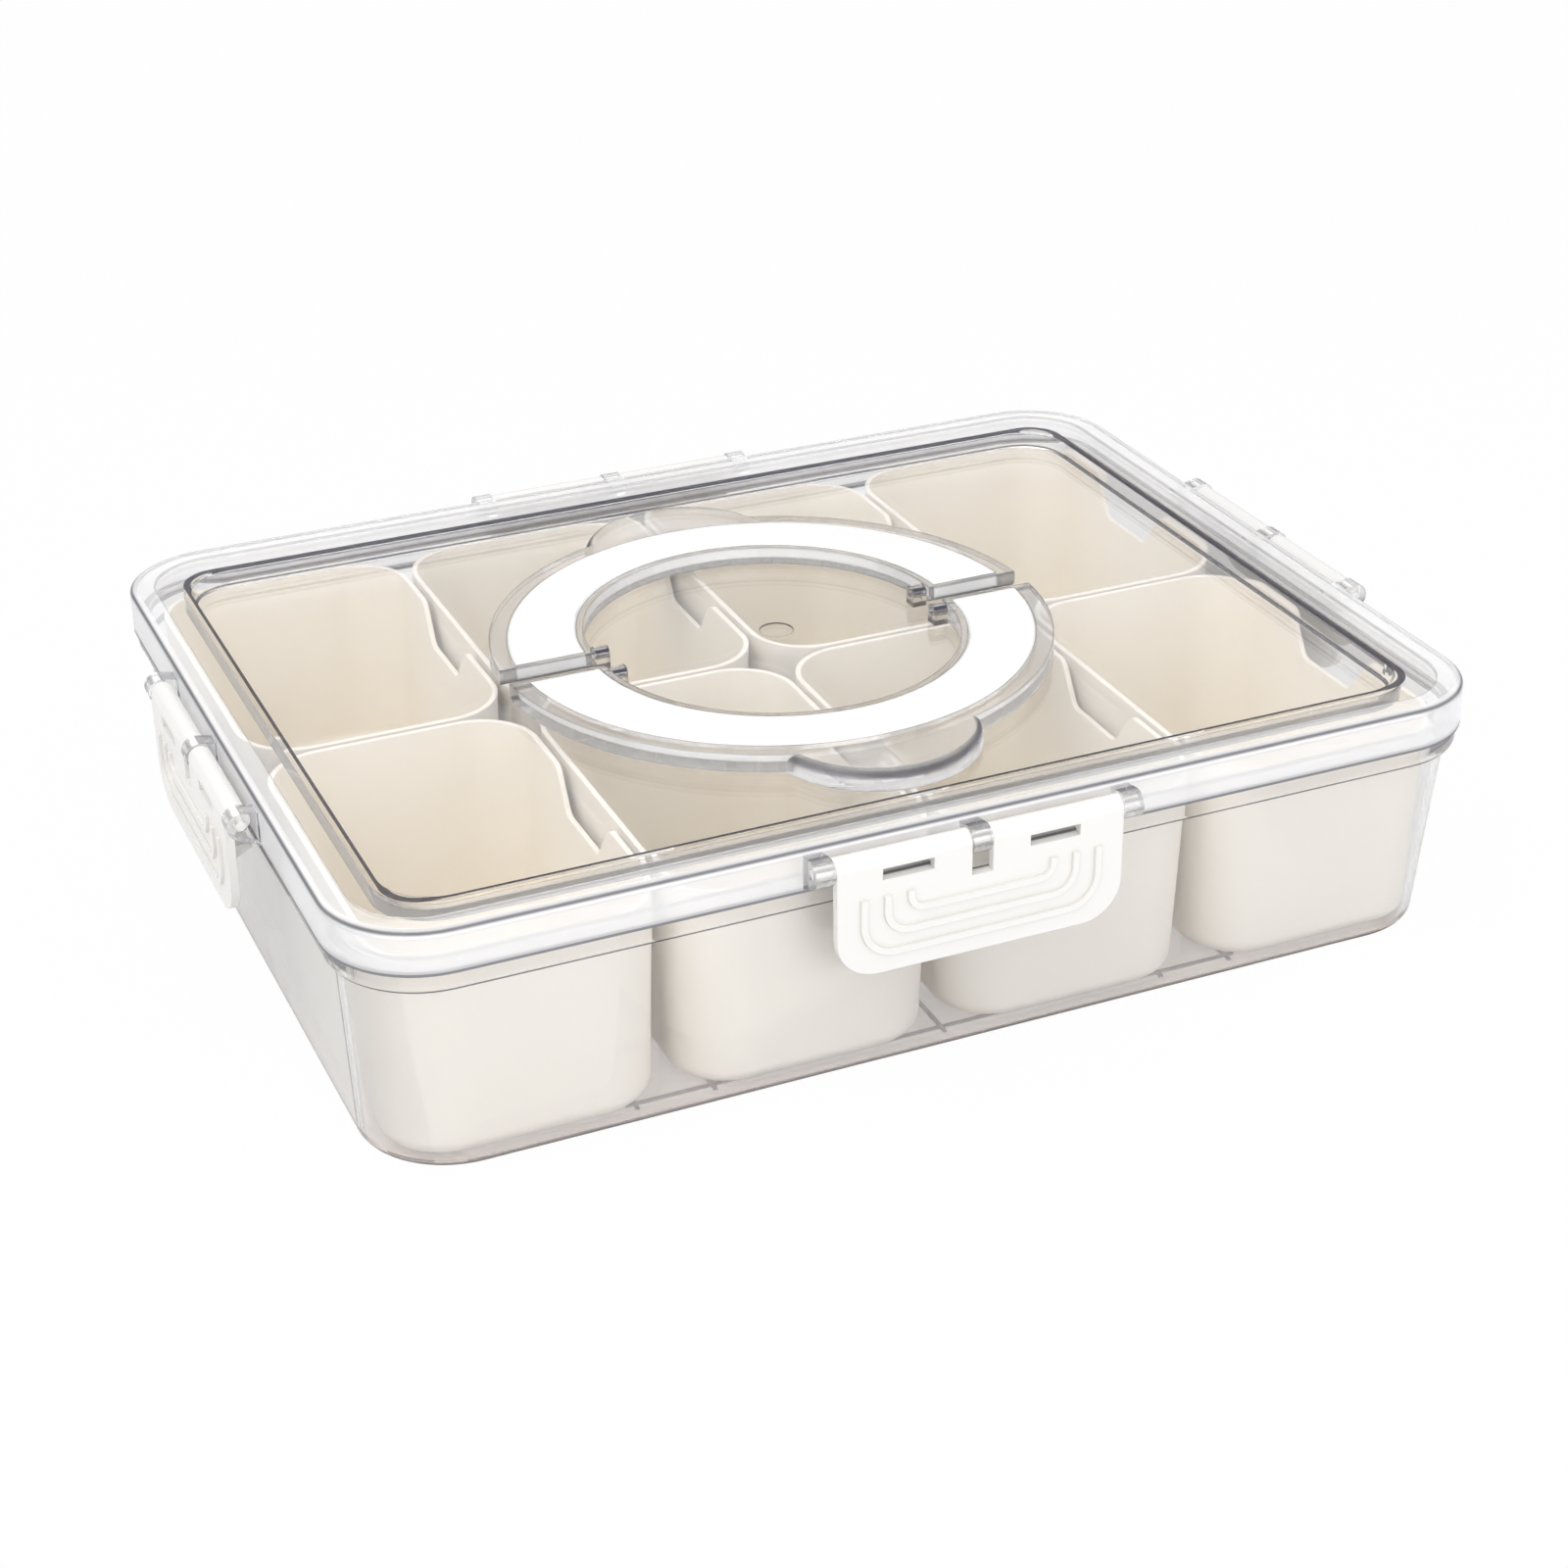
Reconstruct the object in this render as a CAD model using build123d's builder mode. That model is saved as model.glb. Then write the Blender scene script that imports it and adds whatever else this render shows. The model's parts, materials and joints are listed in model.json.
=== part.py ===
from build123d import *
import os

# Divided serving tray: a clear base tray, eight lift-out bins and a clear lid.
# The lid carries a handle of two folding half rings and four flip latches.
# Millimetres. Z is up, the table is at z = 0, the long side lies along X,
# and the front faces -Y. The origin is under the middle of the tray.

# Lid
lid_length = 330.0
lid_width = 253.6
lid_corner = 27.0
lid_top = 74.5
lid_sheet = 2.0
lid_edge_round = 2.0
skirt_depth = 12.5
rim_width = 7.5
rim_step = 0.7
land_width = 9.5
recess_depth = 5.3
recess_corner = 15.0
recess_draft = 12.0
recess_round = 1.2
gate_radius = 5.0
gate_depth = 0.4
gate_x = 5.0
gate_y = 8.0

# Base tray
lid_clearance = 1.0
tray_height = 65.5
tray_wall = 2.0
tray_floor = 1.4
tray_draft = 3.6
tray_foot_corner = 26.0
tray_foot_round = 3.0
lip_inset = 1.0
lip_depth = 6.0
lip_round = 2.0
rib_height = 0.6
rib_width = 1.0
rib_spread = 11.0
rib_setback = 6.2
rib_overrun = 2.5

# Bins
bin_columns = 4
bin_rows = 2
bin_gap_x = 1.8
bin_gap_y = 1.4
bin_side_gap = 4.5
bin_end_gap = 3.1
bin_corner = 18.0
bin_rim_height = 62.5
bin_draft = 2.0
bin_wall = 1.6
bin_foot_round = 5.0
dip_depth = 11.5
dip_mouth = 40.0
dip_bottom = 24.0
dip_shift = 2.0
dip_round = 4.5

# Handle
ring_radius = 82.0
ring_band = 28.7
ring_bore_shift = 4.0
ring_height = 5.4
handle_clearance = 0.3
split_half = 4.1
tab_radius = 30.3
tab_overhang = 17.4
tab_round = 4.0
grip_outer_border = 5.3
grip_inner_border = 2.2
grip_end_border = 2.0
grip_floor = 1.4
grip_proud = 0.3
grip_clearance = 0.1
grip_round = 0.8
pivot_setback = 3.1
pivot_height = 3.7
pivot_pin = 1.2
pivot_fit = 0.05
pivot_lug_radius = 2.3
pivot_lug_width = 4.3
pivot_lug_gap = 0.7
pivot_pin_root = 1.5
end_round_top = 0.8

# Latches
latch_width = 82.0
latch_length = 31.2
latch_thickness = 2.4
latch_corner = 11.5
axis_stand = 5.0
axis_drop = 4.8
barrel_radius = 3.3
pin_radius = 1.5
pin_fit = 0.05
pin_recess = 0.5
lug_width = 5.4
lug_radius = 3.8
lug_clearance = 0.3
lug_foot_height = 9.0
lug_foot_drop = 2.0
notch_depth = 8.7
slot_length = 14.5
slot_height = 3.2
slot_offset = 21.0
slot_drop = 2.55
u_rib_width = 1.9
u_rib_rise = 0.8
u_rib_count = 3
u_rib_top = 8.7
u_rib_first_side = 7.4
u_rib_first_foot = 5.8
u_rib_side_step = 6.6
u_rib_foot_step = 5.6
u_rib_corner_step = 2.5
catch_length = 60.0
catch_height = 1.2
catch_slope = 4.4
catch_drop = 0.6
catch_clearance = 0.3

# Heights and places that follow from the sizes above
skirt_bottom = lid_top - skirt_depth
land_top = lid_top - rim_step
recess_floor = land_top - recess_depth
panel_under = recess_floor - lid_sheet
land_under = land_top - lid_sheet
recess_inset = rim_width + land_width
ring_bottom = recess_floor + handle_clearance
ring_top = ring_bottom + ring_height
pivot_y = split_half + pivot_setback
pivot_z = recess_floor + pivot_height
axis_z = lid_top - axis_drop
inside_length = lid_length - 2 * (lid_sheet + lid_clearance + tray_wall)
inside_width = lid_width - 2 * (lid_sheet + lid_clearance + tray_wall)
rib_reach = inside_width / 2 - tray_draft - rib_setback
ring_bore = ring_radius - ring_band
tab_reach = ring_radius + tab_overhang
bin_width = (inside_length - 2 * bin_side_gap - (bin_columns - 1) * bin_gap_x) / bin_columns
bin_length = (inside_width - 2 * bin_end_gap - (bin_rows - 1) * bin_gap_y) / bin_rows
bin_pitch_x = bin_width + bin_gap_x
bin_pitch_y = bin_length + bin_gap_y
bin_floor = tray_floor + rib_height
bin_rim = bin_rim_height
lip_top = skirt_bottom
notch_width = lug_width + 2 * lug_clearance
outer_lug_offset = latch_width / 2 + lug_clearance + lug_width / 2
pin_reach = latch_width / 2 + lug_clearance + lug_width - pin_recess

# Side of the lid: turn about Z from the front, and reach of the hinge axis
front_reach = lid_width / 2 + axis_stand
end_reach = lid_length / 2 + axis_stand
latch_sides = {
    "latch_front": (0, front_reach),
    "latch_right": (90, end_reach),
    "latch_back": (180, front_reach),
    "latch_left": (270, end_reach),
}


def lid_outline(inset, mode=Mode.ADD):
    """Outline of the lid, moved inward by the inset."""
    RectangleRounded(lid_length - 2 * inset, lid_width - 2 * inset, lid_corner - inset, mode=mode)


def recess_outline(growth, mode=Mode.ADD):
    """Outline of the recess in the lid, moved outward by the growth."""
    RectangleRounded(
        lid_length - 2 * recess_inset + 2 * growth,
        lid_width - 2 * recess_inset + 2 * growth,
        recess_corner + growth,
        mode=mode,
    )


def side_plane(turn, reach):
    """Upright plane through a latch axis: x along the side, y up, z outward."""
    outward = Vector(0, -1, 0).rotate(Axis.Z, turn)
    along = Vector(1, 0, 0).rotate(Axis.Z, turn)
    return Plane(origin=outward * reach + Vector(0, 0, axis_z), x_dir=along, z_dir=outward)


def end_plane(face):
    """Section plane across a latch: x outward from its axis, y up."""
    return Plane(origin=face.origin, x_dir=face.z_dir, z_dir=-face.x_dir)


def latch_lug(face, offset):
    """Eye of the lid that holds the latch pin: a rounded nose on a foot in the skirt."""
    section = end_plane(face).offset(offset)
    foot_reach = axis_stand + lid_sheet / 2
    with BuildSketch(section) as eye:
        Circle(lug_radius)
        with Locations((-foot_reach, -lug_foot_drop)):
            Rectangle(lid_sheet, lug_foot_height)
        make_hull()
        Circle(pin_radius + pin_fit, mode=Mode.SUBTRACT)
    extrude(eye.sketch, amount=lug_width / 2, both=True)


def pivot_lug(side, end):
    """Eye on the recess floor that holds one pivot pin of a handle half."""
    lug_middle = ring_bore - pivot_lug_gap - pivot_lug_width / 2
    foot = pivot_height + lid_sheet / 2
    with BuildSketch(Plane.YZ.offset(end * lug_middle)) as eye:
        with Locations((side * pivot_y, pivot_z)):
            Circle(pivot_lug_radius)
            Rectangle(2 * pivot_lug_radius, foot, align=(Align.CENTER, Align.MAX))
            Circle(pivot_pin + pivot_fit, mode=Mode.SUBTRACT)
    extrude(eye.sketch, amount=pivot_lug_width / 2, both=True)


def build_lid():
    """Clear lid: skirt, raised rim, land, sunken panel and all its hinge eyes."""
    with BuildPart() as lid:
        with BuildSketch(Plane.XY.offset(skirt_bottom)):
            lid_outline(0)
        extrude(amount=skirt_depth)
        fillet(lid.faces().sort_by(Axis.Z)[-1].edges(), radius=lid_edge_round)

        # Open underside, up to the panel
        with BuildSketch(Plane.XY.offset(skirt_bottom)):
            lid_outline(lid_sheet)
        extrude(amount=panel_under - skirt_bottom, mode=Mode.SUBTRACT)

        # Channel under the rim and the land, around the panel
        with BuildSketch(Plane.XY.offset(panel_under)):
            lid_outline(lid_sheet)
            recess_outline(lid_sheet, mode=Mode.SUBTRACT)
        extrude(amount=land_under - panel_under, mode=Mode.SUBTRACT)

        # Step inside the rim
        with BuildSketch(Plane.XY.offset(land_top)):
            lid_outline(rim_width)
        extrude(amount=rim_step, mode=Mode.SUBTRACT)

        # Recess with drafted walls, rounded where they meet the panel
        with BuildSketch(Plane.XY.offset(land_top)):
            recess_outline(0)
        extrude(amount=-recess_depth, taper=recess_draft, mode=Mode.SUBTRACT)
        panel = lid.faces().filter_by(Plane.XY).filter_by_position(
            Axis.Z, recess_floor - lid_sheet / 4, recess_floor + lid_sheet / 4
        )
        fillet(panel.edges(), radius=recess_round)

        # Shallow round mark left by the moulding gate
        with BuildSketch(Plane.XY.offset(recess_floor)):
            with Locations((gate_x, gate_y)):
                Circle(gate_radius)
        extrude(amount=-gate_depth, mode=Mode.SUBTRACT)

        for side in (-1, 1):
            for end in (-1, 1):
                pivot_lug(side, end)
        for turn, reach in latch_sides.values():
            face = side_plane(turn, reach)
            for offset in (-outer_lug_offset, 0, outer_lug_offset):
                latch_lug(face, offset)
    return lid


def build_base_tray():
    """Clear tray: drafted walls, a lip under the lid and low ribs on the floor."""
    rim_inset = lid_sheet + lid_clearance
    top_length = lid_length - 2 * rim_inset
    top_width = lid_width - 2 * rim_inset
    top_corner = lid_corner - rim_inset
    with BuildPart() as tray:
        with BuildSketch(Plane.XY):
            RectangleRounded(top_length - 2 * tray_draft, top_width - 2 * tray_draft, tray_foot_corner)
        with BuildSketch(Plane.XY.offset(tray_height)):
            RectangleRounded(top_length, top_width, top_corner)
        loft(ruled=True)
        fillet(tray.faces().sort_by(Axis.Z)[0].edges(), radius=tray_foot_round)

        # Lip that the skirt of the lid stands on, rounded underneath
        with BuildSketch(Plane.XY.offset(lip_top)):
            lid_outline(lip_inset)
        extrude(amount=-lip_depth)
        lip_under = tray.edges().filter_by_position(
            Axis.Z, lip_top - lip_depth - lip_inset / 2, lip_top - lip_depth + lip_inset / 2
        )
        fillet(lip_under.filter_by(lambda edge: is_lip_edge(edge)), radius=lip_round)

        # Inside of the tray
        with BuildSketch(Plane.XY.offset(tray_floor)):
            RectangleRounded(
                inside_length - 2 * tray_draft,
                inside_width - 2 * tray_draft,
                tray_foot_corner - tray_wall,
            )
        with BuildSketch(Plane.XY.offset(tray_height)):
            RectangleRounded(inside_length, inside_width, top_corner - tray_wall)
        loft(ruled=True, mode=Mode.SUBTRACT)

        floor_ribs()
    return tray


def is_lip_edge(edge):
    """True for the outer edges under the lip, which lie furthest out."""
    middle = edge.center()
    reach_x = lid_length / 2 - lip_inset - abs(middle.X)
    reach_y = lid_width / 2 - lip_inset - abs(middle.Y)
    return min(reach_x, reach_y) < lip_inset / 2 or edge.geom_type == GeomType.CIRCLE


def floor_ribs():
    """Low ribs on the floor of the tray that the bins stand on."""
    gaps = [bin_pitch_x * (step - (bin_columns - 2) / 2) for step in range(bin_columns - 1)]
    with BuildSketch(Plane.XY.offset(tray_floor)) as ribs:
        for gap in gaps:
            spread = [0] if gap == 0 else [-rib_spread, rib_spread]
            for shift in spread:
                with Locations((gap + shift, 0)):
                    Rectangle(rib_width, 2 * (rib_reach + rib_overrun))
        for side in (-1, 1):
            with Locations((0, side * rib_reach)):
                Rectangle(2 * (gaps[-1] + rib_spread + rib_overrun), rib_width)
    extrude(ribs.sketch, amount=rib_height)


def bin_form(x, y, inset):
    """Drafted, round-footed form of a bin, moved inward and up by the inset."""
    length = bin_length - 2 * inset
    width = bin_width - 2 * inset
    corner = bin_corner - inset
    with BuildPart() as form:
        with BuildSketch(Plane.XY.offset(bin_floor + inset)):
            with Locations((x, y)):
                RectangleRounded(width - 2 * bin_draft, length - 2 * bin_draft, corner - bin_draft / 2)
        with BuildSketch(Plane.XY.offset(bin_rim)):
            with Locations((x, y)):
                RectangleRounded(width, length, corner)
        loft(ruled=True)
        fillet(form.faces().sort_by(Axis.Z)[0].edges(), radius=bin_foot_round - inset)
    return form.part


def build_bin(column, row):
    """Lift-out bin: drafted walls, a round foot and a dip in its right wall."""
    x = bin_pitch_x * (column - (bin_columns - 1) / 2)
    y = bin_pitch_y * (row - (bin_rows - 1) / 2)
    outside = bin_form(x, y, 0)
    inside = bin_form(x, y, bin_wall)
    with BuildPart() as cup:
        add(outside)
        add(inside, mode=Mode.SUBTRACT)

        # Dip in the right wall, with soft shoulders
        with BuildSketch(Plane.YZ.offset(x + bin_width / 4)):
            with BuildLine():
                dip = y + dip_shift
                Polyline(
                    (dip - dip_mouth, bin_rim),
                    (dip - dip_mouth / 2, bin_rim),
                    (dip - dip_bottom / 2, bin_rim - dip_depth),
                    (dip + dip_bottom / 2, bin_rim - dip_depth),
                    (dip + dip_mouth / 2, bin_rim),
                    (dip + dip_mouth, bin_rim),
                    (dip + dip_mouth, bin_rim + dip_depth),
                    (dip - dip_mouth, bin_rim + dip_depth),
                    close=True,
                )
            dip_face = make_face()
            shoulders = [
                corner
                for corner in dip_face.vertices()
                if abs(corner.X - dip) < dip_mouth / 2 + dip_round / 2
            ]
            fillet(shoulders, radius=dip_round)
        extrude(amount=bin_width / 2, mode=Mode.SUBTRACT)
    return cup


def build_handle_frame(side):
    """Clear half ring with a finger tab, a tray for the grip and two pivot pins."""
    tab_middle = side * (tab_reach - tab_radius)
    with BuildPart() as frame:
        with BuildSketch(Plane.XY.offset(ring_bottom)):
            with Locations((0, tab_middle)):
                Circle(tab_radius)
        extrude(amount=ring_height)
        fillet(frame.faces().sort_by(Axis.Z)[-1].edges(), radius=tab_round)
        with BuildSketch(Plane.XY.offset(ring_bottom)):
            Circle(ring_radius)
        extrude(amount=ring_height)
        with BuildSketch(Plane.XY.offset(ring_bottom)):
            with Locations((0, side * ring_bore_shift)):
                Circle(ring_bore)
            with Locations((0, side * (split_half - ring_radius))):
                Rectangle(3 * ring_radius, 2 * ring_radius)
        extrude(amount=ring_height, mode=Mode.SUBTRACT)

        # Round the two cut ends so that they clear the panel as the half swings
        end_edges = frame.edges().filter_by(Axis.X).group_by(Axis.Z)
        fillet(end_edges[0], radius=pivot_setback)
        end_edges = frame.edges().filter_by(Axis.X).group_by(Axis.Z)
        fillet(end_edges[-1], radius=end_round_top)

        # Tray for the grip
        with BuildSketch(Plane.XY.offset(ring_top)):
            grip_outline(side, 0)
        extrude(amount=grip_floor - ring_height, mode=Mode.SUBTRACT)

        # Pivot pins at the inner ends
        pin_tip = ring_bore - pivot_lug_gap - pivot_lug_width
        for end in (-1, 1):
            with BuildSketch(Plane.YZ.offset(end * pin_tip)):
                with Locations((side * pivot_y, pivot_z)):
                    Circle(pivot_pin)
            extrude(amount=end * (pivot_lug_width + pivot_lug_gap + pivot_pin_root))
    return frame


def grip_outline(side, inset):
    """Outline of the grip: the half ring less its borders, moved in by the inset."""
    Circle(ring_radius - grip_outer_border - inset)
    with Locations((0, side * ring_bore_shift)):
        Circle(ring_bore + grip_inner_border + inset, mode=Mode.SUBTRACT)
    with Locations((0, side * (split_half + grip_end_border + inset - ring_radius))):
        Rectangle(3 * ring_radius, 2 * ring_radius, mode=Mode.SUBTRACT)


def build_handle_grip(side):
    """White half ring that lies in the frame and stands a little proud of it."""
    with BuildPart() as grip:
        with BuildSketch(Plane.XY.offset(ring_bottom + grip_floor)):
            grip_outline(side, grip_clearance)
        extrude(amount=ring_height - grip_floor + grip_proud)
        fillet(grip.faces().sort_by(Axis.Z)[-1].edges(), radius=grip_round)
    return grip


def u_rib(index):
    """One raised U on the latch plate, index 0 being the outermost."""
    half = latch_width / 2 - u_rib_first_side - index * u_rib_side_step
    foot = u_rib_first_foot + index * u_rib_foot_step - latch_length
    corner = latch_corner - u_rib_corner_step * (index + 1)
    with BuildLine() as middle_line:
        FilletPolyline(
            (-half, -u_rib_top), (-half, foot), (half, foot), (half, -u_rib_top), radius=corner
        )
    trace(middle_line.line, line_width=u_rib_width)


def build_latch(turn, reach):
    """Flip latch: hinge barrel, ribbed plate, two slots, catch and pin in one piece."""
    face = side_plane(turn, reach)
    section = end_plane(face)
    with BuildPart() as latch:
        with BuildSketch(face.offset(barrel_radius)) as plate:
            Rectangle(latch_width, latch_length, align=(Align.CENTER, Align.MAX))
            fillet(plate.vertices().group_by(Axis.Y)[0], radius=latch_corner)
        extrude(amount=-latch_thickness)
        with BuildSketch(section):
            Circle(barrel_radius)
        extrude(amount=latch_width / 2, both=True)

        # Catch that reaches in under the lip of the tray
        catch_top = lip_top - lip_depth - catch_drop - axis_z
        catch_tip = catch_clearance - axis_stand - lip_inset
        inner_face = barrel_radius - latch_thickness / 2
        with BuildSketch(section):
            with BuildLine():
                Polyline(
                    (inner_face, catch_top),
                    (catch_tip, catch_top),
                    (catch_tip, catch_top - catch_height),
                    (inner_face, catch_top - catch_height - catch_slope),
                    close=True,
                )
            make_face()
        extrude(amount=catch_length / 2, both=True)

        # Raised ribs on the outer face
        for index in range(u_rib_count):
            with BuildSketch(face.offset(barrel_radius)):
                u_rib(index)
            extrude(amount=u_rib_rise)

        # Notch for the middle eye and the two slots
        with BuildSketch(face):
            Rectangle(notch_width, notch_depth, align=(Align.CENTER, Align.MAX))
            Rectangle(notch_width, barrel_radius, align=(Align.CENTER, Align.MIN))
            with Locations((-slot_offset, -slot_drop), (slot_offset, -slot_drop)):
                Rectangle(slot_length, slot_height)
        extrude(amount=2 * barrel_radius, both=True, mode=Mode.SUBTRACT)

        # Pin through the three eyes
        with BuildSketch(section):
            Circle(pin_radius)
        extrude(amount=pin_reach, both=True)
    return latch


def save(part, name):
    """Label one finished piece and write it as a STEP file."""
    part.part.label = name
    export_step(part.part, f"parts/{name}.step")


os.makedirs("parts", exist_ok=True)
save(build_base_tray(), "base_tray")
save(build_lid(), "lid")
for row, row_name in enumerate(("front", "back")):
    for column in range(bin_columns):
        save(build_bin(column, row), f"bin_{row_name}_{column + 1}")
for side, side_name in ((-1, "front"), (1, "back")):
    save(build_handle_frame(side), f"handle_{side_name}_frame")
    save(build_handle_grip(side), f"handle_{side_name}_grip")
for latch_name, (turn, reach) in latch_sides.items():
    save(build_latch(turn, reach), latch_name)
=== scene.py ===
# %% [markdown]
# # A divided serving tray, dressed for its picture
# The tray is four kinds of moulded plastic: a clear shell and lid, cream bins,
# white latches and a white grip set into a clear folding handle. The shapes are
# finished already, so this lesson is about plastics, light and a camera. The
# model comes in as a fixed frame: its pieces stay where they are.

# %% Load the frame
import json
import math

import bpy
from mathutils import Matrix, Vector

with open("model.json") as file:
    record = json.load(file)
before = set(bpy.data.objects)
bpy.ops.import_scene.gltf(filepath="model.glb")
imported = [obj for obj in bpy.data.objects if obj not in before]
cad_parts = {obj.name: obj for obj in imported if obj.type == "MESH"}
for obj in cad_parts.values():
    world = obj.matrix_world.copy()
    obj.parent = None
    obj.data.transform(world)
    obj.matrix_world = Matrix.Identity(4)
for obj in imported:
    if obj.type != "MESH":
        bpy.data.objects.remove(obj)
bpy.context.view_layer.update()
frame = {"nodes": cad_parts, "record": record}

nodes = frame["nodes"]
print("nodes in the frame:", len(nodes))

# %% [markdown]
# ## The camera
# A product picture is taken from a little above and to the left, with a long
# lens so that the far edge is hardly smaller than the near one. A camera can be
# turned with angles, but a matrix built from three directions is exact and can
# be read: right, up and back, each at a right angle to the others. The angles,
# the distance and the lens were found by laying the outlines of the lid and the
# tray over the picture.

# %% Camera
azimuth = math.radians(-23.39)
elevation = math.radians(27.86)
roll = math.radians(-0.76)
camera_distance = 0.8873
camera_target = Vector((0.0027, -0.0015, 0.0221))

back = Vector((
    math.sin(azimuth) * math.cos(elevation),
    -math.cos(azimuth) * math.cos(elevation),
    math.sin(elevation),
))
level_right = Vector((0, 0, 1)).cross(back).normalized()
level_up = back.cross(level_right)
right = level_right * math.cos(roll) + level_up * math.sin(roll)
up = level_up * math.cos(roll) - level_right * math.sin(roll)

camera_data = bpy.data.cameras.new("camera")
camera_data.sensor_width = 36
camera_data.lens = 68.14
camera = bpy.data.objects.new("camera", camera_data)
bpy.context.scene.collection.objects.link(camera)
turn = Matrix((right, up, back)).transposed().to_4x4()
camera.matrix_world = Matrix.Translation(camera_target + back * camera_distance) @ turn
bpy.context.scene.camera = camera
print("camera at", [round(c, 3) for c in camera.matrix_world.translation])

# %% [markdown]
# ## Writing shaders as sums
# A shader is a graph of nodes, and drawing it line by line in code hides the
# idea. Here a small class wraps one socket, so that `1 - mask * 0.3` adds its
# own Math nodes, and a mask can be read as a sentence: the depth is between two
# limits, and the height is below a third.

# %% Sockets that can be added and multiplied
class Wire:
    """One output socket. Arithmetic on it adds Math nodes."""

    def __init__(self, shader, socket):
        self.shader, self.socket = shader, socket

    def math(self, operation, *values):
        """Result of one Math node."""
        sockets = dict(enumerate(values))
        return self.shader.node("ShaderNodeMath", {"operation": operation}, sockets)

    def __add__(self, other):
        return self.math("ADD", self, other)

    def __sub__(self, other):
        return self.math("SUBTRACT", self, other)

    def __rsub__(self, other):
        return self.math("SUBTRACT", other, self)

    def __mul__(self, other):
        return self.math("MULTIPLY", self, other)

    def __abs__(self):
        return self.math("ABSOLUTE", self)

    def root(self):
        """Square root of the value."""
        return self.math("SQRT", self)

    def at_least(self, other):
        """The larger of the two."""
        return self.math("MAXIMUM", self, other)

    def at_most(self, other):
        """The smaller of the two."""
        return self.math("MINIMUM", self, other)

    def below(self, limit):
        """1 where the value is under the limit, else 0."""
        return self.math("LESS_THAN", self, limit)

    def above(self, limit):
        """1 where the value is over the limit, else 0."""
        return self.math("GREATER_THAN", self, limit)

    def between(self, low, high):
        """1 where the value is over the low limit and under the high one, else 0."""
        return self.above(low) * self.below(high)

    __radd__ = __add__
    __rmul__ = __mul__


def spoken(kind):
    """Names of the methods of a class that are called by name."""
    return ", ".join(name for name in vars(kind) if not name.startswith("_"))


print("a wire knows:", spoken(Wire))

# %% [markdown]
# ## One method for every other node
# What isn't plain arithmetic goes through a single method that takes the node's
# type, its settings and its sockets. The short methods after it name the jobs
# that come up in every material here: a blend of two colours, a blend of two
# surfaces, and the kind of ray that is looking.

# %% A material, filled node by node
class Shader:
    """One material. Each method adds nodes and returns an output of the last."""

    def __init__(self, name):
        self.material = bpy.data.materials.new(name)
        self.material.use_nodes = True
        self.tree = self.material.node_tree
        self.tree.nodes.clear()

    def node(self, kind, settings=None, sockets=None, out=0):
        """Adds one node: settings first, then values or links, and returns one output."""
        made = self.tree.nodes.new(kind)
        for key, value in (settings or {}).items():
            setattr(made, key, value)
        for key, value in (sockets or {}).items():
            if isinstance(value, Wire):
                self.tree.links.new(value.socket, made.inputs[key])
            else:
                made.inputs[key].default_value = value
        return Wire(self, made.outputs[out]) if len(made.outputs) else None

    def mix(self, factor, first, second):
        """Blend of two colours."""
        sockets = {0: factor, 6: first, 7: second}
        return self.node("ShaderNodeMix", {"data_type": "RGBA"}, sockets, out=2)

    def blend(self, factor, first, second):
        """Blend of two surfaces."""
        return self.node("ShaderNodeMixShader", None, {0: factor, 1: first, 2: second})

    def ray(self, kind):
        """1 for rays of one kind, else 0: camera, shadow, glossy or transmission."""
        order = {"camera": 0, "shadow": 1, "glossy": 3, "transmission": 6}
        return self.node("ShaderNodeLightPath", out=order[kind])

    def finish(self, surface):
        """Ends the graph and returns the material."""
        self.node("ShaderNodeOutputMaterial", None, {"Surface": surface})
        print("material", self.material.name, "with", len(self.tree.nodes), "nodes")
        return self.material


print("a shader knows:", spoken(Shader))

# %% [markdown]
# ## What every moulded plastic needs
# A moulded face has not quite the same tone and gloss all over, its edges are
# never sharp, and its corners and grooves lie in shade. Noise gives the first,
# on the piece's own coordinates, so that it stays put when the piece moves. A
# Bevel node rounds the edges in the shading alone and leaves the mesh as it is.
# An Ambient Occlusion node measures the shade, and the bins and the white plastic paint it
# into their colour.

# %% Noise, rounded edges and shade
mm = 0.001


def noise(shader, scale, detail=2.0, stretch=(1, 1, 1)):
    """Soft noise from 0 to 1 on the object's own coordinates, in waves per metre."""
    place = shader.node("ShaderNodeTexCoord", out=3)
    place = shader.node(
        "ShaderNodeVectorMath", {"operation": "MULTIPLY"}, {0: place, 1: stretch}
    )
    sockets = {"Vector": place, "Scale": scale, "Detail": detail}
    return shader.node("ShaderNodeTexNoise", None, sockets)


def rounded(shader, radius):
    """Normal that rounds every sharp edge by the radius."""
    return shader.node("ShaderNodeBevel", {"samples": 4}, {"Radius": radius})


def bump(shader, height, strength, distance, normal=None):
    """Bump of the given height pattern on top of another normal."""
    sockets = {"Height": height, "Strength": strength, "Distance": distance}
    if normal is not None:
        sockets["Normal"] = normal
    return shader.node("ShaderNodeBump", None, sockets)


def openness(shader, reach, samples):
    """1 on an open face, falling towards 0 where the piece's own walls, as far as
    the reach, hide the sky."""
    settings = {"only_local": True, "samples": samples}
    return shader.node("ShaderNodeAmbientOcclusion", settings, {"Distance": reach}, out=1)


print("one millimetre in the units of the scene:", mm)

# %% [markdown]
# ## Cream plastic for the bins
# The bins are moulded in a warm cream. The surface is satin: a broad and
# soft highlight, no mirror image. Light that falls to the bottom of a bin
# bounces from wall to wall and comes out warmer. The renderer does part of
# this by itself, and a painted tan shade where the walls hide the sky does the
# rest. A faint cloudiness keeps the large walls from looking painted.

# %% Cream bins
plastic_ior = 1.49
bin_shade_reach = 50 * mm


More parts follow.
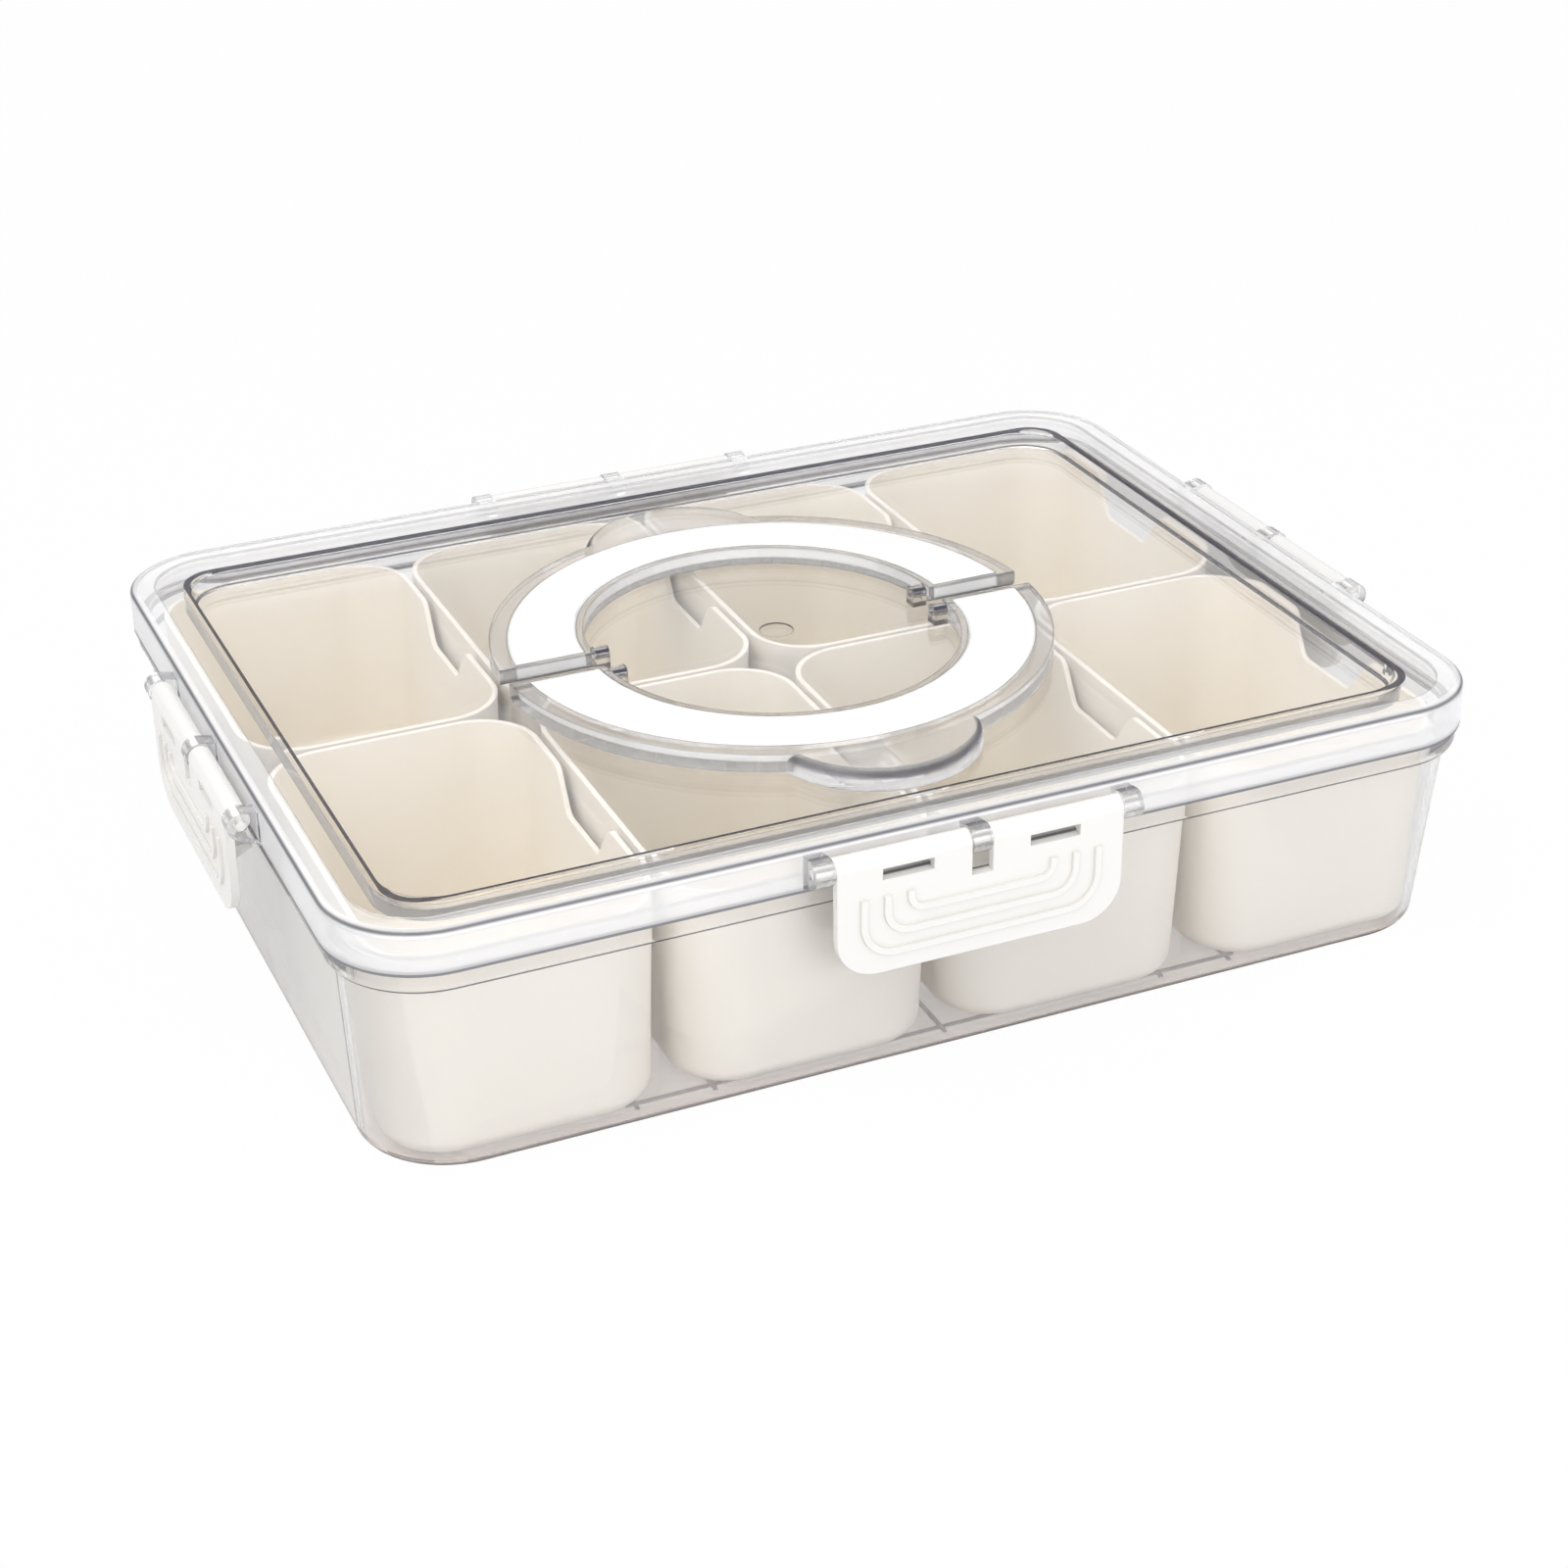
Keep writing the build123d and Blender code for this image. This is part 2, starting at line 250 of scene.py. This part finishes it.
def cream_plastic():
    """Cream with slow clouds of tone, painted tan shade in the depth, and a satin roughness.
    """
    cream = Shader("cream_bins")
    clouds = noise(cream, scale=14, detail=3)
    tone = cream.mix(clouds, (0.875, 0.825, 0.745, 1), (0.91, 0.87, 0.805, 1))
    # painted shade: the cream turns tan where the bin's own walls hide the sky
    open_sky = openness(cream, bin_shade_reach, samples=12)
    tone = cream.mix(open_sky, (0.78, 0.69, 0.53, 1), tone)
    surface = cream.node("ShaderNodeBsdfPrincipled", None, {
        "Base Color": tone,
        "Roughness": 0.38 + 0.12 * noise(cream, scale=60),
        "IOR": plastic_ior,
        "Specular IOR Level": 0.35,
        "Normal": rounded(cream, 0.6 * mm),
    })
    return cream.finish(surface)


bin_material = cream_plastic()

# %% [markdown]
# ## White plastic for the latches and the grip
# The latches are glossy white and the grip is a purer white with a softer
# gloss. Both could be moulded, so each rib and slot has a rounded edge that
# catches a line of light. The grooves beside the ribs are narrow, and a grey
# painted shade is put in them. White plastic this thin lets light through: a
# shadow ray is dimmed by it instead of stopped, which keeps the bins bright
# below the handle.

# %% White latches and grip
groove_shade_reach = 1.5 * mm


def white_plastic(name, dark, light, roughness, edge, passed):
    """White with a faint change of tone and gloss, and a grey painted shade where a groove is
    narrow; a share of the light passes through it, so that its shadow is soft."""
    white = Shader(name)
    tone = white.mix(noise(white, scale=12, detail=1), dark, light)
    # painted shade: the white turns grey where a narrow groove hides the sky
    open_sky = openness(white, groove_shade_reach, samples=6)
    tone = white.mix(open_sky, (0.78, 0.745, 0.69, 1), tone)
    skin = noise(white, scale=700)
    surface = white.node("ShaderNodeBsdfPrincipled", None, {
        "Base Color": tone,
        "Roughness": roughness + 0.03 * noise(white, scale=120),
        "IOR": plastic_ior,
        "Specular IOR Level": 0.45,
        "Normal": bump(white, skin, 0.01, 0.1 * mm, rounded(white, edge)),
    })
    share = (passed, passed, passed, 1)
    through = white.node("ShaderNodeBsdfTransparent", None, {"Color": share})
    return white.finish(white.blend(white.ray("shadow"), surface, through))


latch_material = white_plastic(
    "white_latches",
    dark=(0.855, 0.84, 0.82, 1),
    light=(0.875, 0.86, 0.84, 1),
    roughness=0.24,
    edge=0.3 * mm,
    passed=0.3,
)
grip_material = white_plastic(
    "white_grips",
    dark=(0.89, 0.89, 0.885, 1),
    light=(0.92, 0.92, 0.915, 1),
    roughness=0.30,
    edge=0.6 * mm,
    passed=0.6,
)

# %% [markdown]
# ## Clear plastic for the shell, the lid and the handle
# These could be moulded from acrylic or polystyrene. Clear plastic is seen by
# its edges: a flat sheet nearly vanishes, while every bend gathers grey and
# white lines. Real refraction gives the soft ones. Light
# that would have to find its way to the bins through two surfaces makes noise,
# so a shadow ray is let through with a small loss, as a thin clear sheet does.
# A small part of the straight view is kept too, which stops a thick rim from
# going black where the renderer gives up on a trapped ray. Two masks do what
# is left: one for a haze, which is a painted glow on the lid and a painted
# shade on the tray, and one for painted dark lines. Each clear piece brings
# its own pair, and they come in the cells after this one.

# %% Clear plastic
def clear_plastic(name, straight_share, haze_glow_shade_share, painted_line_share, haze_glow_shade_colour):
    """Refracting sheet with faint flow waves, a haze that holds painted glow and painted
    shade, and painted dark edge lines.
    """
    clear = Shader(name)
    waves = noise(clear, scale=18, stretch=(1, 1, 3))
    clouds = noise(clear, scale=9)
    tint = clear.mix(clouds, (0.95, 0.95, 0.962, 1), (0.985, 0.985, 0.985, 1))
    glass = clear.node("ShaderNodeBsdfPrincipled", None, {
        "Base Color": tint,
        "Roughness": 0.012 * noise(clear, scale=260),
        "IOR": plastic_ior,
        "Transmission Weight": 1.0,
        "Normal": bump(clear, waves, 0.02, 2 * mm),
    })
    straight = clear.node("ShaderNodeBsdfTransparent", None, {"Color": (0.98, 0.98, 0.985, 1)})
    # haze: painted glow on the lid, painted shade on the tray floor, a faint own haze on the
    # handle
    haze_glow_shade = clear.node("ShaderNodeBsdfDiffuse", None, {"Color": haze_glow_shade_colour})
    # painted dark line: stands in for the dark that a bend in clear plastic shows
    line = clear.node("ShaderNodeBsdfDiffuse", None, {"Color": (0.05, 0.05, 0.07, 1)})
    thin = clear.blend(straight_share, glass, straight)
    with_haze_glow_shade = clear.blend(haze_glow_shade_share(clear), thin, haze_glow_shade)
    body = clear.blend(painted_line_share(clear), with_haze_glow_shade, line)
    return clear.finish(clear.blend(clear.ray("shadow"), body, straight))


mirrored = ((plastic_ior - 1) / (plastic_ior + 1)) ** 2
print("share of light mirrored by a face seen straight on:", round(mirrored, 3))

# %% [markdown]
# ## A ruler for the lid and the tray
# The rim, the land and the recess of the lid run round it at fixed distances
# from its outer edge, and so do the lip and the foot of the tray. A mask for
# any of them needs only that distance, the depth inside the lid's outline, and
# the height. The sizes are those of the model, in millimetres.

# %% Depth inside the lid's outline
lid_half_length, lid_half_width, lid_corner = 165 * mm, 126.8 * mm, 27 * mm


def coordinate(shader, axis):
    """One coordinate of the point, in metres: 0 for x, 1 for y, 2 for z."""
    point = shader.node("ShaderNodeTexCoord", out=3)
    return shader.node("ShaderNodeSeparateXYZ", None, {0: point}, out=axis)


def depth_inside_lid(shader):
    """Depth of a point inside the lid's outline: the corner radius, less the distance
    to the rectangle between the corner centres, plus how far the point is inside
    that rectangle."""
    over_x = abs(coordinate(shader, 0)) - (lid_half_length - lid_corner)
    over_y = abs(coordinate(shader, 1)) - (lid_half_width - lid_corner)
    out_x, out_y = over_x.at_least(0), over_y.at_least(0)
    distance = (out_x * out_x + out_y * out_y).root()
    inside = over_x.at_least(over_y).at_most(0)
    return lid_corner - distance - inside


print("outline of the lid in metres:", 2 * lid_half_length, "by", 2 * lid_half_width)

# %% [markdown]
# ## Lines along the bends
# A bend in clear plastic shows something from far to the side, which is often
# dark, so a thin dark line is painted along it in place of that view. The
# rounded normal can draw that line: it turns from level to upright across the
# bend, and half way it is neither.

# %% Bends
def bend_lines(shader, radius, sharpness):
    """1 along every edge between a level and an upright face, 0 on the faces: four
    times the square of the rounded normal's upright part times what is left of 1,
    which is 1 at half way, then stretched so that only its top remains."""
    normal = shader.node(
        "ShaderNodeVectorTransform",
        {"vector_type": "NORMAL", "convert_from": "WORLD", "convert_to": "OBJECT"},
        {0: rounded(shader, radius)},
    )
    upright = shader.node("ShaderNodeSeparateXYZ", None, {0: normal}, out=2)
    square = upright * upright
    tipped = 4 * square * (1 - square)
    settings = {"operation": "MULTIPLY_ADD", "use_clamp": True}
    sockets = {0: tipped, 1: sharpness, 2: 1 - sharpness}
    return shader.node("ShaderNodeMath", settings, sockets)


for tilt in (0, 30, 45, 60, 90):
    square = math.cos(math.radians(tilt)) ** 2
    print("tilted by", tilt, "degrees:", round(4 * square * (1 - square), 2))

# %% [markdown]
# ## The clear lid
# The skirt and the rim of a clear lid pipe the light and look white, as the
# edge of a sheet of acrylic does, so a white glow is painted on them. The
# sharpest painted dark lines stand where a wall is seen edge on: under the edge
# where the land drops into the recess, and along the foot of the skirt. The
# hinge eyes are so small that full lines would turn them black, so theirs are
# weak.

# %% Lid
eyes_end, skirt_end, rim_end = -0.3 * mm, 2.6 * mm, 7.7 * mm
recess_edge_depths, recess_edge_heights = (16.0 * mm, 18.2 * mm), (72.9 * mm, 74.0 * mm)
skirt_foot_depths, skirt_foot_top = (eyes_end, 2.4 * mm), 62.8 * mm


def lid_painted_glow(shader):
    """Painted glow of the piped light: strong in the skirt and weaker under the rim."""
    depth = depth_inside_lid(shader)
    return 0.45 * depth.between(eyes_end, skirt_end) + 0.20 * depth.between(skirt_end, rim_end)


def lid_painted_lines(shader):
    """Painted dark lines along all bends, fainter on the hinge eyes, and darkest under the
    edge where the land drops into the recess; the foot of the skirt gets a painted dark line
    too."""
    depth, height = depth_inside_lid(shader), coordinate(shader, 2)
    eyes = depth.below(eyes_end)
    bends = bend_lines(shader, radius=0.7 * mm, sharpness=2.2) * (0.8 - 0.55 * eyes)
    drop = depth.between(*recess_edge_depths) * height.between(*recess_edge_heights)
    foot = depth.between(*skirt_foot_depths) * height.below(skirt_foot_top)
    return bends.at_least(0.85 * drop + 0.6 * foot)


lid_material = clear_plastic(
    "clear_lid",
    straight_share=0.06,
    haze_glow_shade_share=lid_painted_glow,
    painted_line_share=lid_painted_lines,
    # white of the painted glow in the skirt and the rim
    haze_glow_shade_colour=(0.98, 0.98, 0.99, 1),
)

# %% [markdown]
# ## The clear tray
# The floor of the tray lies in the shade of the bins and takes on a little of
# their colour, so that shade is painted on it as a warm grey haze. Its low ribs,
# the underside of the lip and the rounded foot get painted dark lines.

# %% Tray
floor_top, lip_bottom = 2.2 * mm, 55.5 * mm
lip_depth, lip_heights = 2.8 * mm, (lip_bottom, 57.2 * mm)
tray_foot_depths, tray_foot_top = (5.0 * mm, 9.0 * mm), 1.9 * mm
ribs_start, rib_heights = 10.5 * mm, (1.6 * mm, 2.1 * mm)


def tray_painted_shade(shader):
    """Painted shade, strong in the floor, which picks up the shade of the bins, and weak in
    the lip.
    """
    height = coordinate(shader, 2)
    return 0.30 * height.below(floor_top) + 0.02 * height.above(lip_bottom)


def tray_painted_lines(shader):
    """Painted dark lines along the bends, the underside of the lip, the foot and the floor's
    ribs.
    """
    depth, height = depth_inside_lid(shader), coordinate(shader, 2)
    bends = 0.8 * bend_lines(shader, radius=0.7 * mm, sharpness=2.2)
    lip = depth.below(lip_depth) * height.between(*lip_heights)
    foot = depth.between(*tray_foot_depths) * height.below(tray_foot_top)
    ribs = depth.above(ribs_start) * height.between(*rib_heights)
    return bends.at_least(0.75 * lip + 0.6 * foot + 0.5 * ribs)


tray_material = clear_plastic(
    "clear_tray",
    straight_share=0.10,
    haze_glow_shade_share=tray_painted_shade,
    painted_line_share=tray_painted_lines,
    # warm grey of the painted shade of the bins on the floor
    haze_glow_shade_colour=(0.70, 0.59, 0.505, 1),
)

# %% [markdown]
# ## The clear handle
# The two half rings are thick and clear right through, so they get almost no
# haze. Their painted dark lines come from the bends alone. These are measured in the piece's
# own directions, so they stay on the edges when a half ring is turned up.

# %% Handle
def handle_milk(shader):
    """Faint all over, with a slow change."""
    return 0.01 * noise(shader, scale=40)


def handle_painted_lines(shader):
    """Painted dark lines along the bends."""
    return 0.75 * bend_lines(shader, radius=1.0 * mm, sharpness=2.0)


handle_material = clear_plastic(
    "clear_rings",
    straight_share=0.15,
    haze_glow_shade_share=handle_milk,
    painted_line_share=handle_painted_lines,
    haze_glow_shade_colour=(0.93, 0.93, 0.94, 1),
)

# %% [markdown]
# ## Each piece gets its plastic
# The imported record already says which finish each piece has, so the script asks
# it instead of listing the pieces again. Only the lid and the tray, which share
# one slot in the record, differ in where they get their painted glow, shade and dark lines.

# %% Hand out the materials
finishes = {
    "clear_handle": handle_material,
    "bin_cream": bin_material,
    "grip_white": grip_material,
    "latch_white": latch_material,
}
clear_pieces = {"lid": lid_material, "base_tray": tray_material}
for row in frame["record"]["subparts"]:
    name, slot = row["node"], row["material_slot"]
    nodes[name].data.materials.clear()
    nodes[name].data.materials.append(clear_pieces.get(name) or finishes[slot])

# %% [markdown]
# ## A white ground that still takes a shadow
# The picture has a pure white ground. More light would bleach the cream, so the
# ground is made white another way: rays that come from the camera, or through
# the glass, see part of the floor as a plain white, and the rest of it stays an
# ordinary floor that takes the shadow.

# %% Floor
def seen_directly(shader, plain, through):
    """Share of plain white: one for rays from the camera, another for rays by way
    of gloss or clear plastic, and 0 for all others."""
    camera_ray = shader.ray("camera")
    bent_ray = shader.ray("glossy").at_least(shader.ray("transmission"))
    return plain * camera_ray + through * bent_ray * (1 - camera_ray)


floor_reach = 4.0
corners = [(-1, -1), (1, -1), (1, 1), (-1, 1)]
floor_mesh = bpy.data.meshes.new("floor")
floor_mesh.from_pydata(
    [(x * floor_reach, y * floor_reach, 0) for x, y in corners], [], [(0, 1, 2, 3)]
)
floor = bpy.data.objects.new("floor", floor_mesh)
bpy.context.scene.collection.objects.link(floor)

ground = Shader("floor")
matt = ground.node("ShaderNodeBsdfDiffuse", None, {"Color": (0.86, 0.86, 0.86, 1)})
white = ground.node("ShaderNodeEmission", None, {"Color": (1, 1, 1, 1), "Strength": 1.0})
white_share = seen_directly(ground, plain=0.97, through=0.5)
floor_mesh.materials.append(ground.finish(ground.blend(white_share, matt, white)))

# %% [markdown]
# ## The room around it
# Photographers stand dark flags beside clear things, so that the bends have
# something dark to bend. The world does the same here: the camera sees a white
# backdrop, while gloss and clear plastic see it darker near the horizon. All
# other rays get an even, slightly cool room light. The top of the flags is
# given as a height on a sphere of radius 1.

# %% World
world = bpy.data.worlds.new("studio")
world.use_nodes = True
bpy.context.scene.world = world


class Sky(Shader):
    """The same graph helper on the world's own tree."""

    def __init__(self, world):
        self.tree = world.node_tree
        self.tree.nodes.clear()


flag_top, flag_strength = 0.22, 0.55

sky = Sky(world)
room = sky.node(
    "ShaderNodeBackground", None, {"Color": (0.98, 0.985, 1.0, 1), "Strength": 0.7}
)
direction = sky.node("ShaderNodeTexCoord", out=0)
rise = sky.node("ShaderNodeSeparateXYZ", None, {0: direction}, out=2)
flags = rise.below(flag_top) * (1 - sky.ray("camera"))
brightness = 1 - flag_strength * flags
backdrop = sky.node(
    "ShaderNodeBackground", None, {"Color": (1, 1, 1, 1), "Strength": brightness}
)
both = sky.blend(seen_directly(sky, plain=1.0, through=1.0), room, backdrop)
sky.node("ShaderNodeOutputWorld", None, {"Surface": both})
print("world nodes:", len(world.node_tree.nodes))

# %% [markdown]
# ## Three soft boxes
# The key is large and high on the left, and it shapes the bins. The front one
# fills the walls that face the camera, and the side one keeps the right end
# from going grey. Large lamps give soft shadows, which suits pale plastic.

# %% Lamps
tray_middle = Vector((0, 0, 0.03))


def area_lamp(name, place, width, height, watts, colour=(1, 1, 1)):
    """A flat soft box that faces the middle of the tray."""
    data = bpy.data.lights.new(name, "AREA")
    data.shape = "RECTANGLE"
    data.size, data.size_y = width, height
    data.energy = watts
    data.color = colour
    lamp = bpy.data.objects.new(name, data)
    bpy.context.scene.collection.objects.link(lamp)
    lamp.location = place
    lamp.rotation_euler = (tray_middle - Vector(place)).to_track_quat("-Z", "Y").to_euler()
    print("lamp", name, watts, "W")


area_lamp("key", (-0.55, -0.25, 1.1), width=1.0, height=1.0, watts=7.0, colour=(1, 0.99, 0.97))
area_lamp("front", (0.1, -1.3, 0.45), width=1.0, height=0.6, watts=3.9)
area_lamp("side", (1.1, -0.4, 0.6), width=0.8, height=0.6, watts=2.0)

bpy.context.scene.view_settings.view_transform = "Standard"

# %% [markdown]
